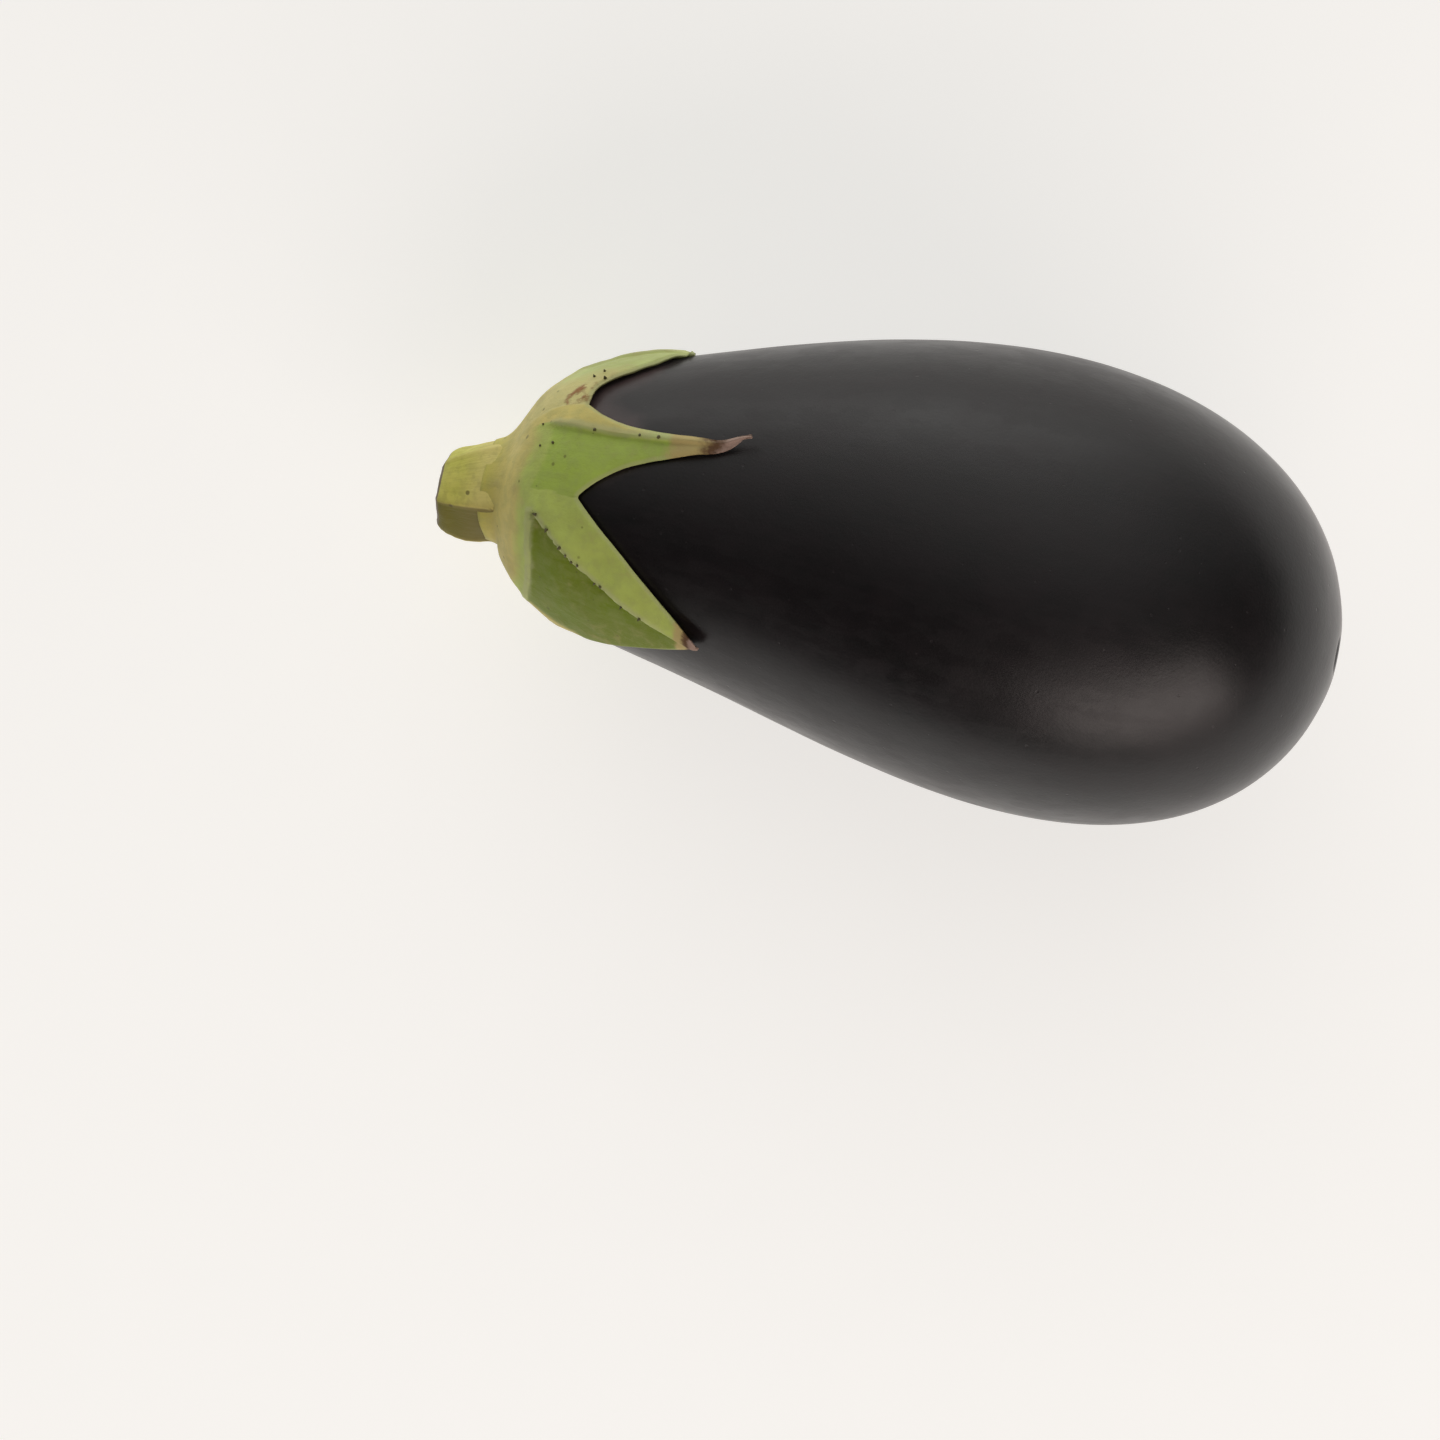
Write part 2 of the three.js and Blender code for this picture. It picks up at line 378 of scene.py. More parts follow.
def roughen(piece, size, height, depth, weights=None):
    """Unevenness of a given grain size and height, everywhere or by a weight."""
    cloud = bpy.data.textures.new("unevenness", "CLOUDS")
    cloud.noise_scale = size
    cloud.noise_depth = depth
    settings = {"texture": cloud, "strength": height, "mid_level": 0.5}
    if weights is None:
        modify(piece, "DISPLACE", **settings)
    else:
        modify_where(piece, weights, "DISPLACE", **settings)


def record(piece, name, values):
    """Keeps a value for each vertex, for the piece's material."""
    layer = piece.data.attributes.new(name, "FLOAT", "POINT")
    layer.data.foreach_set("value", np.clip(values, 0, 1).astype(np.float32))


def record_course(piece, along, azimuth):
    """Keeps a place for each vertex that follows the growth: along, and round as a circle."""
    turn = np.radians(azimuth)
    course = np.stack([along, np.cos(turn), np.sin(turn)], axis=1)
    layer = piece.data.attributes.new("course", "FLOAT_VECTOR", "POINT")
    layer.data.foreach_set("vector", course.astype(np.float32).ravel())


def spread_from(piece, places, width):
    """1 at any of the places, fading to 0 at width from them, for each vertex."""
    tree = KDTree(len(places))
    for index, place in enumerate(places):
        tree.insert(place, index)
    tree.balance()
    away = np.array([tree.find(point)[2] for point in points_of(piece)])
    return 1 - smooth_step(0, width, away)


# The fruit


def make_fruit():
    """Rings drawn out from the crown to the blossom end, both closed."""
    rings = [above_skin(latitude, 0) for latitude in FRUIT_LATITUDES]
    x, y, radius = rings[0]
    bpy.ops.mesh.primitive_circle_add(
        vertices=FRUIT_COLUMNS, radius=radius, location=(x, y, 0), rotation=(0, math.pi / 2, 0)
    )
    fruit = named("fruit_skin")
    bpy.ops.mesh.extrude_region_move(TRANSFORM_OT_translate={"value": (-x, -y, 0)})
    bpy.ops.mesh.merge(type="CENTER")
    pick_vertices(fruit, lambda vertex: abs(vertex.co.x - x) < 1e-6)
    draw_out(rings[0], rings[1:])
    # The blossom scar: a small ring pressed into the end
    scar_rings = [
        (FRUIT_LENGTH - 0.28 * MM, 0, 4.0 * MM),
        (FRUIT_LENGTH - 0.40 * MM, 0, 3.2 * MM),
        (FRUIT_LENGTH - 0.95 * MM, 0, 2.5 * MM),
        (FRUIT_LENGTH - 0.85 * MM, 0, 1.1 * MM),
    ]
    draw_out(rings[-1], scar_rings)
    bpy.ops.mesh.merge(type="CENTER")
    close_up()
    smooth_out(fruit, 2)
    roughen(fruit, 60 * MM, 0.5 * MM, depth=0)
    roughen(fruit, 17 * MM, 0.13 * MM, depth=1)
    return fruit


def keep_fruit_masks(fruit, calyx):
    """Records the course of the growth, the skin near the calyx, and the scar."""
    latitude, azimuth = placed_on_skin(fruit)
    record_course(fruit, share_at(latitude), azimuth)
    leaf = [Vector(point) for point in points_of(calyx)[::5]]
    # The skin near the calyx is pale pinkish purple: partly its own colour, partly a painted
    # reflection where it faces the light on the +Y side. It is less so past the slender lobe and
    # near the tips
    lit_side_weight = 1 - 0.85 * smooth_step(70, 100, turned_from(-60, azimuth) - 60)
    lit_side_weight *= 1 - 0.9 * smooth_step(44, 54, latitude)
    record(fruit, "near_calyx", spread_from(fruit, leaf, 9 * MM) * lit_side_weight)
    record(fruit, "scar", spread_from(fruit, [Vector((FRUIT_LENGTH, 0, 0))], 6.5 * MM))


# The calyx


def collar_rings():
    """From the lip round the stem, out over the shoulder, to the ring where the lobes start."""
    rings = [
        (COLLAR_X - 0.6 * MM, -0.3 * MM, 8.9 * MM),
        (COLLAR_X + 0.5 * MM, -0.1 * MM, 9.2 * MM),
        (COLLAR_X + 1.6 * MM, 0, COLLAR_RADIUS),
    ]
    for latitude in (10.5, 13, 15.5, 18, 20.5, 23, 25.5, 28, 30.5, ROOT_LATITUDE):
        rings.append(above_skin(latitude, leaf_lift(latitude)))
    return rings


def grow_lobe(calyx, lobe):
    """Extrudes the lobe from its stretch of the root ring, row by row, to its tip."""
    root_x, root_middle, _ = above_skin(ROOT_LATITUDE, leaf_lift(ROOT_LATITUDE))

    def at_root(vertex):
        place = vertex.co
        azimuth = math.degrees(math.atan2(place.z, place.y - root_middle))
        beyond = root_x - 0.1 * MM < place.x < root_x + 4.2 * MM
        turned = turned_from(lobe.start - 0.5, azimuth)
        return beyond and vertex.is_boundary and turned <= lobe.end - lobe.start + 1

    pick_vertices(calyx, at_root)
    here = over_skin(ROOT_LATITUDE, lobe.middle(0), leaf_lift(ROOT_LATITUDE))
    width = lobe.half_width(0) * skin_radius(ROOT_LATITUDE)
    for row in range(1, LOBE_ROWS + 1):
        share = row / LOBE_ROWS
        along = share - 0.6 * math.sin(2 * math.pi * share) / (2 * math.pi)
        latitude = ROOT_LATITUDE + (lobe.reach - ROOT_LATITUDE) * along
        there = over_skin(latitude, lobe.middle(along), leaf_lift(latitude))
        next_width = max(lobe.half_width(along), 0.3) * skin_radius(latitude)
        bpy.ops.mesh.extrude_edges_move(TRANSFORM_OT_translate={"value": there - here})
        size = next_width / width
        bpy.ops.transform.resize(value=(size, size, size), center_override=there)
        here, width = there, next_width
    bpy.ops.mesh.merge(type="CENTER")


def calyx_masks(latitude, azimuth):
    """Where the keels, the panels and the tan flesh are, from each vertex's place on the skin."""
    names = ("crest", "panel", "dark", "tan", "pale", "rise", "sink")
    masks = {name: np.zeros_like(latitude) for name in names}
    radius = skin_radius(latitude)
    for lobe in LOBES:
        span = lobe.end - lobe.start
        turned = turned_from(lobe.start, azimuth)
        keel_place = turned_from(lobe.start, lobe.keel(latitude))
        past = np.radians(turned - keel_place) * radius
        to_end = np.radians(span - turned) * radius
        along = (latitude - lobe.opening) / (lobe.reach - lobe.opening)
        grown = smooth_step(0, 0.12, along) * (1 - 0.7 * smooth_step(0.7, 1, along))
        # The collar's edge: a shallow curve, furthest out in the middle of the panel
        edge = lobe.opening + 2.5 * np.sin(np.pi * np.clip(turned / span, 0, 1))
        opened = smooth_step(edge, edge + lobe.softness, latitude)
        behind = smooth_step(0, 0.8 * MM, past)
        panel = behind * opened
        ridge = np.where(past < 0, bump_at(past, 3.4 * MM), 1 - behind)
        # Where a panel opens sharply, the collar ends in a low shelf
        shelf = bump_at(latitude - edge, 1.4) * behind * (lobe.softness < 3)
        shelf *= smooth_step(0, 5 * MM, to_end)
        crest = np.where(past < 0, bump_at(past, 1.2 * MM), bump_at(past, 0.4 * MM)) * grown
        tan_band = (1 - smooth_step(-0.4 * MM, 0.4 * MM, past)) * lobe.tan
        tan_end = 1 - smooth_step(2 * MM, lobe.pale_end, to_end)
        following = LOBES[(LOBES.index(lobe) + 1) % len(LOBES)]
        tan = np.maximum(tan_band * (1 - smooth_step(42, 58, latitude)), tan_end * following.tan)
        collar = 1 - smooth_step(edge - 9, edge + lobe.softness, latitude)
        hollow = panel * np.exp(-np.maximum(past, 0) / (9 * MM))
        found = {
            "crest": np.maximum(crest, shelf),
            "panel": panel,
            # The dark panel is partly painted shade on the keel's side turned from the light
            "dark": panel * lobe.dark,
            "tan": np.maximum(tan, collar),
            "pale": lobe.pale * smooth_step(8, 30, latitude),
            "rise": np.maximum(ridge * grown * lobe.crest, shelf * 0.45 * MM) / MM,
            "sink": hollow * smooth_step(0, 3 * MM, to_end),
        }
        for name in names:
            masks[name] = np.where(lobe.holds(azimuth), found[name], masks[name])
    return masks


def rim_places(piece):
    """The places along the open edge of a piece."""
    uses = {}
    for face in piece.data.polygons:
        for key in face.edge_keys:
            uses[key] = uses.get(key, 0) + 1
    rim = {index for key, count in uses.items() if count == 1 for index in key}
    return [piece.data.vertices[index].co.copy() for index in rim]


def lobe_edges(calyx):
    """The places along the edges of the lobes, without the lip round the stem."""
    return [place for place in rim_places(calyx) if place.x > COLLAR_X + 1 * MM]


def make_calyx(fruit):
    """A cap round the stem with five keeled lobes that lie on the skin."""
    rings = collar_rings()
    x, y, radius = rings[0]
    bpy.ops.mesh.primitive_circle_add(
        vertices=CALYX_COLUMNS, radius=radius, location=(x, y, 0), rotation=(0, math.pi / 2, 0)
    )
    calyx = named("calyx_leaf")
    draw_out(rings[0], rings[1:])
    # The lip is set back a little on the -Y side of the stem
    lip = Vector((COLLAR_X - 0.6 * MM, -8.6 * MM, 2.3 * MM))
    pull(calyx, lip, (1.5 * MM, 0, 0), 7 * MM)
    for azimuth, further in OUTER_NOTCHES:
        notch = over_skin(ROOT_LATITUDE, azimuth, leaf_lift(ROOT_LATITUDE))
        pull(calyx, notch, (further, 0, 0), 11 * MM)
    for lobe in LOBES:
        grow_lobe(calyx, lobe)
    close_up(0.12 * MM)
    smooth_out(calyx, 1)

    # Lay it on the skin, then give the shoulder and the collar their flesh again
    latitude, _ = placed_on_skin(calyx)
    off_collar = smooth_step(9, 14, latitude)
    modify_where(
        calyx, off_collar, "SHRINKWRAP", target=fruit, wrap_method="NEAREST_SURFACEPOINT",
        wrap_mode="ABOVE_SURFACE", offset=LEAF_LIFT,
    )
    thickest = 3.0 * MM
    raise_where(calyx, (leaf_lift(latitude) - LEAF_LIFT) / thickest * off_collar, thickest)
    latitude, azimuth = placed_on_skin(calyx)
    masks = calyx_masks(latitude, azimuth)
    highest = 1.2
    raise_where(calyx, masks["rise"] / highest, highest * MM)
    raise_where(calyx, masks["sink"] * (0.4 + 0.6 * masks["dark"]), -0.55 * MM)

    # Uneven flesh, calmer towards the tips, and an edge that rounds down to the skin
    edge = lobe_edges(calyx)
    calm = 1 - 0.75 * smooth_step(44, 56, latitude)
    roughen(calyx, 9 * MM, 0.9 * MM, depth=0, weights=calm)
    roughen(calyx, 3.2 * MM, 0.3 * MM, depth=2, weights=calm * smooth_step(12, 20, latitude))
    raise_where(calyx, spread_from(calyx, edge, 1.3 * MM) ** 2, -0.45 * MM)
    lift_edges(calyx)
    for lobe in LOBES:
        near_tip = spread_from(calyx, [over_skin(lobe.reach, lobe.tip, LEAF_LIFT)], 5 * MM)
        modify_where(calyx, near_tip, "SMOOTH", factor=0.5, iterations=lobe.smoothing)
    keep_calyx_masks(calyx)
    thickness = 1 - 0.55 * spread_from(calyx, rim_places(calyx), 1.6 * MM)
    modify_where(
        calyx, thickness, "SOLIDIFY", thickness=LEAF_THICKNESS, offset=-1, use_even_offset=False
    )
    return calyx


def lift_edges(calyx):
    """Lifts the dried tips, and a few stretches of the edge, off the skin."""
    use_only(calyx)
    bpy.ops.object.mode_set(mode="EDIT")
    # Latitude and azimuth, then the lift, the run to one side and the spread in millimetres
    for latitude, azimuth, lift, sideways, size in (
        (BACK_LOBE.reach, BACK_LOBE.tip, -1.05, 0.0, 6),
        (SLENDER_LOBE.reach, SLENDER_LOBE.tip, 1.5, 1.4, 8),
        (58, 72, 0.6, 0.0, 6),
        (BROAD_LOBE.reach, BROAD_LOBE.tip, 0.7, 0.5, 9),
        (FRONT_LOBE.reach, FRONT_LOBE.tip, 1.1, -0.6, 9),
        (UNDER_LOBE.reach, UNDER_LOBE.tip, 0.8, 0.8, 9),
        (36, 46, 0.4, 0.0, 4),
        (45, 78, 0.5, 0.0, 5),
        (45, 109, 0.3, 0.0, 6),
        (36, 196, 0.6, 0.0, 6),
    ):
        spot = over_skin(latitude, azimuth, LEAF_LIFT)
        upwards = (spot - over_skin(latitude, azimuth, 0)).normalized()
        across = upwards.cross(Vector((1, 0, 0))).normalized()
        pull(calyx, spot, (upwards * lift + across * sideways) * MM, size * MM)
    bpy.ops.object.mode_set(mode="OBJECT")


def keep_calyx_masks(calyx):
    """Records where the margins, keels, panels, dried tips and corky spots are."""
    latitude, azimuth = placed_on_skin(calyx)
    masks = calyx_masks(latitude, azimuth)
    for name in ("crest", "panel", "dark", "tan", "pale"):
        record(calyx, name, masks[name])
    record(calyx, "margin", spread_from(calyx, lobe_edges(calyx), 1.9 * MM))
    dried = np.zeros_like(latitude)
    for lobe in LOBES:
        if lobe.dry:
            share = np.clip((latitude - lobe.reach + lobe.dry) / lobe.dry, 0, 1)
            dried = np.maximum(dried, share * lobe.holds(azimuth))
    record(calyx, "dried", dried)
    x = points_of(calyx)[:, 0]
    record(calyx, "near_stem", 1 - smooth_step(COLLAR_X - 1 * MM, COLLAR_X + 4 * MM, x))
    scraped = [over_skin(32, 45, LEAF_LIFT), over_skin(31, 247, LEAF_LIFT)]
    record(calyx, "corky", spread_from(calyx, scraped, 6.5 * MM))
    record_course(calyx, latitude / 60, azimuth)


def add_prickles(calyx):
    """Small dark prickles along the keels and here and there on the panels."""
    chance = random.Random(7)
    # Single ones, by latitude and azimuth: on the slender lobe, then on the back lobe
    spots = [(24, 60), (38.6, 68), (47.9, 68.6), (51.5, 69.6), (28.6, 70.8), (25.2, 72)]
    spots += [(34, 33), (36, 30), (37, 36)]
    for lobe in (BROAD_LOBE, FRONT_LOBE, UNDER_LOBE):
        latitude = 28.0 + chance.uniform(0, 2)
        while latitude < lobe.reach - 7:
            spots.append((latitude, float(lobe.keel(latitude)) + chance.uniform(-1.5, 3.5)))
            latitude += chance.uniform(1.3, 5.6)
    bpy.ops.mesh.primitive_cone_add(
        vertices=7, radius1=0.38 * MM, radius2=0.06 * MM, depth=0.8 * MM, location=(0, 0, 0.2 * MM)
    )
    pattern = named("prickle")
    # Its point leans over
    pick_vertices(pattern, lambda vertex: vertex.co.z > 0.4 * MM)
    bpy.ops.transform.translate(value=(0.35 * MM, 0, 0))
    bpy.ops.object.mode_set(mode="OBJECT")
    prickles = []
    for latitude, azimuth in spots:
        above = over_skin(latitude, azimuth, 3 * MM)
        _, place, normal, _ = calyx.closest_point_on_mesh(above)
        prickle = pattern.copy()
        prickle.data = pattern.data.copy()
        prickle.location = place
        prickle.rotation_euler = normal.to_track_quat("Z", "X").to_euler()
        size = chance.uniform(0.7, 1.1)
        prickle.scale = (size * chance.uniform(1.0, 1.6), size, size)
        bpy.context.scene.collection.objects.link(prickle)
        use_only(prickle)
        bpy.ops.object.transform_apply(location=True, rotation=True, scale=True)
        prickles.append(prickle)
    use_only(prickles[0])
    for prickle in prickles:
        prickle.select_set(True)
    bpy.ops.object.join()
    prickles[0].name = prickles[0].data.name = "calyx_prickles"
    bpy.data.objects.remove(pattern)
    return prickles[0]


# The stem


def stem_middle(x):
    """Sideways place of the stem's middle line."""
    return -STEM_DRIFT * (COLLAR_X - x) / (9 * MM)


def make_stem():
    """A five-sided stub, drawn out from under the collar to its cut."""
    base_x = COLLAR_X + 2.6 * MM
    base_radius = 9.9 * MM
    bpy.ops.mesh.primitive_circle_add(
        vertices=STEM_COLUMNS, radius=base_radius, location=(base_x, 0, 0),
        rotation=(0, math.pi / 2, 0),
    )
    stem = named("stem_stub")
    rings = []
    for away, radius in STEM_RINGS:
        x = -away * MM
        rings.append((x, stem_middle(x), radius * MM))
    draw_out((base_x, 0, base_radius), rings)
    bpy.ops.mesh.merge(type="CENTER")
    close_up()
    # Turn it so that its ridges lie at their azimuths
    stem.rotation_euler = (math.radians(FIRST_RIDGE), 0, 0)
    use_only(stem)
    bpy.ops.object.transform_apply(location=True, rotation=True, scale=True)
    # Its ridge on the -Y side stands out a little
    bpy.ops.object.mode_set(mode="EDIT")
    turn = math.radians(190)
    for x, out in ((-11.0 * MM, 0.3 * MM), (-7.0 * MM, 0.8 * MM)):
        y = stem_middle(x) + 7.5 * MM * math.cos(turn)
        pull(stem, Vector((x, y, 7.5 * MM * math.sin(turn))), (0, -out, 0), 8 * MM)
    bpy.ops.object.mode_set(mode="OBJECT")
    smooth_out(stem, 2)
    carve_stem(stem)
    return stem


def carve_stem(stem):
    """Cuts the flat sides, which meet in creases, and leaves the face of the cut alone."""
    x, y, z = points_of(stem).T
    y = y - stem_middle(x)
    azimuth = np.degrees(np.arctan2(z, y))
    away = np.hypot(y, z)
    half = 180 / STEM_RIDGES
    depth = np.zeros_like(x)
    shade = np.zeros_like(x)
    corner = math.cos(math.radians(half))
    for middle, cut in STEM_SIDES:
        turned = (azimuth - middle + 180) % 360 - 180
        inside = np.abs(turned) <= half
        flat = (1 - corner / np.cos(np.radians(np.where(inside, turned, 0)))) / (1 - corner)
        depth = np.where(inside, flat * cut, depth)
        # Painted shade, strongest on the deepest side, which faces away from the light
        shade_strength = min(cut / DEEPEST_SIDE, 1) ** 3
        shade = np.where(inside, smooth_step(0, 0.12, flat) * shade_strength, shade)
    # Shallower near the cut, and none in the middle of its face
    depth *= smooth_step(3 * MM, 6.5 * MM, away)
    depth *= 1 - 0.5 * smooth_step(-9.5 * MM, -12.5 * MM, x)
    # The hollow mask holds that painted shade
    record(stem, "hollow", shade)
    ridge = 1 - smooth_step(0, 9, np.abs((azimuth - FIRST_RIDGE + half) % (2 * half) - half))
    record(stem, "ridge", ridge)
    record(stem, "cut", smooth_step(-12.6 * MM, -13.0 * MM, x))
    record_course(stem, (COLLAR_X - x) / (20 * MM), azimuth)
    raise_where(stem, depth / DEEPEST_SIDE, -DEEPEST_SIDE * MM)
    roughen(stem, 5 * MM, 0.35 * MM, depth=1)
    roughen(stem, 1.3 * MM, 0.1 * MM, depth=2)


# Laying the eggplant down


def lay_down(fruit, pieces):
    """Leans the pieces, moves them so that the fruit fills its place, and returns the crown's."""
    for piece in pieces:
        piece.rotation_euler = (0, -LEAN, 0)
        use_only(piece)
        bpy.ops.object.transform_apply(location=False, rotation=True, scale=False)
    low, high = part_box("fruit")
    points = points_of(fruit)
    shift = Vector(high) - Vector(points.max(axis=0))
    shift.x = (high.x + low.x - points[:, 0].max() - points[:, 0].min()) / 2
    shift.y = (high.y + low.y - points[:, 1].max() - points[:, 1].min()) / 2
    for piece in pieces:
        piece.location = shift
        use_only(piece)
        bpy.ops.object.transform_apply(location=True, rotation=False, scale=False)
    return shift


def press_flat(fruit):
    """Presses the belly flat where it lies on the floor."""
    use_only(fruit)
    bpy.ops.object.mode_set(mode="EDIT")
    pick_vertices(fruit, lambda vertex: vertex.co.z < 0)
    bpy.ops.transform.resize(value=(1, 1, 0), center_override=(0, 0, 0))
    bpy.ops.object.mode_set(mode="OBJECT")


# Materials


def feed(tree, socket, value):
    """Links a socket, or sets a plain value."""
    if isinstance(value, bpy.types.NodeSocket):
        tree.links.new(value, socket)
    elif isinstance(value, tuple) and len(value) == 3 and socket.type == "RGBA":
        socket.default_value = (*value, 1)
    else:
        socket.default_value = value


def add_node(tree, kind, settings=None, inputs=None):
    node = tree.nodes.new(kind)
    for name, value in (settings or {}).items():
        setattr(node, name, value)
    for name, value in (inputs or {}).items():
        feed(tree, node.inputs[name], value)
    return node


def blend(tree, factor, first, second):
    """Blends two colours."""
    node = add_node(tree, "ShaderNodeMix", {"data_type": "RGBA"})
    feed(tree, node.inputs[0], factor)
    feed(tree, node.inputs[6], first)
    feed(tree, node.inputs[7], second)
    return node.outputs[2]


def work_out(tree, operation, *values):
    node = add_node(tree, "ShaderNodeMath", {"operation": operation})
    for socket, value in zip(node.inputs, values):
        feed(tree, socket, value)
    return node.outputs[0]


def add_up(tree, total, *terms):
    """Adds terms to a total. A term is a value and its factor."""
    for value, factor in terms:
        total = work_out(tree, "MULTIPLY_ADD", value, factor, total)
    return total


def wash(tree, colour, *coats):
    """Lays coats over a colour. A coat is a mask, how strong it is, and its own colour."""
    for mask, strength, other in coats:
        colour = blend(tree, work_out(tree, "MULTIPLY", mask, strength), colour, other)
    return colour


def between(tree, value, low, high, from_zero=0.0, to_one=1.0):
    """A soft step of the value between low and high."""
    node = add_node(
        tree, "ShaderNodeMapRange", {"interpolation_type": "SMOOTHSTEP"},
        {"Value": value, "From Min": low, "From Max": high, "To Min": from_zero, "To Max": to_one},
    )
    return node.outputs["Result"]


def noise(tree, place, scale, detail=3.0, roughness=0.55):
    node = add_node(
        tree, "ShaderNodeTexNoise", None,
        {"Vector": place, "Scale": scale, "Detail": detail, "Roughness": roughness},
    )
    return node.outputs["Fac"]


def group_tree(name, inputs, outputs):
    """An empty shared effect. Inputs are name, kind and value; outputs are names of values."""
    tree = bpy.data.node_groups.new(name, "ShaderNodeTree")
    for label, kind, value in inputs:
        socket = tree.interface.new_socket(label, in_out="INPUT", socket_type=kind)
        if value is not None:
            socket.default_value = value
    for label in outputs:
        tree.interface.new_socket(label, in_out="OUTPUT", socket_type="NodeSocketFloat")
    start = tree.nodes.new("NodeGroupInput")
    end = tree.nodes.new("NodeGroupOutput")
    return tree, start.outputs, end.inputs


def make_patches():
    """Soft irregular patches, as a mask, and finer cloudiness."""
    tree, given, result = group_tree(
        "patches",
        [
            ("Place", "NodeSocketVector", None),
            ("Scale", "NodeSocketFloat", 100.0),
            ("Coverage", "NodeSocketFloat", 0.5),
            ("Softness", "NodeSocketFloat", 0.1),
        ],
        ["Mask", "Cloud"],
    )
    broad = noise(tree, given["Place"], given["Scale"], 4.0, 0.6)
    edge = work_out(tree, "SUBTRACT", 0.75, work_out(tree, "MULTIPLY", given["Coverage"], 0.5))
    low = work_out(tree, "SUBTRACT", edge, given["Softness"])
    high = work_out(tree, "ADD", edge, given["Softness"])
    tree.links.new(between(tree, broad, low, high), result["Mask"])
    tree.links.new(broad, result["Cloud"])
    return tree


def make_fibres():
    """Streaks along the growth, from a piece's course."""
    tree, given, result = group_tree(
        "fibres",
        [
            ("Course", "NodeSocketVector", None),
            ("Length", "NodeSocketFloat", 3.0),
            ("Fineness", "NodeSocketFloat", 20.0),
            ("Sharpness", "NodeSocketFloat", 0.5),
        ],
        ["Streaks"],
    )
    parts = add_node(tree, "ShaderNodeSeparateXYZ", None, {"Vector": given["Course"]}).outputs
    stretched = add_node(
        tree, "ShaderNodeCombineXYZ", None,
        {
            "X": work_out(tree, "MULTIPLY", parts["X"], given["Length"]),
            "Y": work_out(tree, "MULTIPLY", parts["Y"], given["Fineness"]),
            "Z": work_out(tree, "MULTIPLY", parts["Z"], given["Fineness"]),
        },
    ).outputs["Vector"]
    streaks = noise(tree, stretched, 1.0, 3.0, 0.6)
    half = work_out(tree, "MULTIPLY", work_out(tree, "SUBTRACT", 1.0, given["Sharpness"]), 0.3)
    low = work_out(tree, "SUBTRACT", 0.5, half)
    high = work_out(tree, "ADD", 0.5, half)
    tree.links.new(between(tree, streaks, low, high), result["Streaks"])
    return tree


def make_specks():
    """Small round specks, of uneven size, on a share of the places they could be."""
    tree, given, result = group_tree(
        "specks",
        [
            ("Place", "NodeSocketVector", None),
            ("Scale", "NodeSocketFloat", 300.0),
            ("Size", "NodeSocketFloat", 0.2),
            ("Share", "NodeSocketFloat", 0.5),
        ],
        ["Mask"],
    )
    cells = add_node(
        tree, "ShaderNodeTexVoronoi", None, {"Vector": given["Place"], "Scale": given["Scale"]}
    )
    tint = add_node(tree, "ShaderNodeSeparateColor", None, {"Color": cells.outputs["Color"]})
    size = work_out(tree, "MULTIPLY", given["Size"], tint.outputs["Green"])
    inner = work_out(tree, "MULTIPLY", size, 0.5)
    dot = between(tree, cells.outputs["Distance"], inner, size, 1.0, 0.0)
    chosen = work_out(tree, "LESS_THAN", tint.outputs["Red"], given["Share"])
    tree.links.new(work_out(tree, "MULTIPLY", dot, chosen), result["Mask"])
    return tree


def effect(tree, group, **inputs):
    """Places a shared effect, and returns its outputs."""
    node = add_node(tree, "ShaderNodeGroup", {"node_tree": group}, inputs)
    return node.outputs


def kept(tree, name, output="Fac"):
    """A value that the piece keeps for each of its vertices."""
    return add_node(tree, "ShaderNodeAttribute", {"attribute_name": name}).outputs[output]


def growth_of(tree, course):
    """How far along the growth a place is."""
    return add_node(tree, "ShaderNodeSeparateXYZ", None, {"Vector": course}).outputs["X"]


def start_material(name, roughness=0.5, specular=0.5):
    """A new material. Gives its tree, its shader, and the place on the piece."""
    material = bpy.data.materials.new(name)
    material.use_nodes = True
    tree = material.node_tree
    shader = tree.nodes["Principled BSDF"]
    shader.inputs["Roughness"].default_value = roughness
    shader.inputs["Specular IOR Level"].default_value = specular
    place = add_node(tree, "ShaderNodeTexCoord").outputs["Object"]
    return material, tree, shader, place


def bump(tree, shader, height, depth):
    """Fine relief: depth is what a height of 1 stands for, in metres."""
    inputs = {"Height": height, "Distance": depth, "Strength": 1.0}
    node = add_node(tree, "ShaderNodeBump", None, inputs)
    tree.links.new(node.outputs["Normal"], shader.inputs["Normal"])


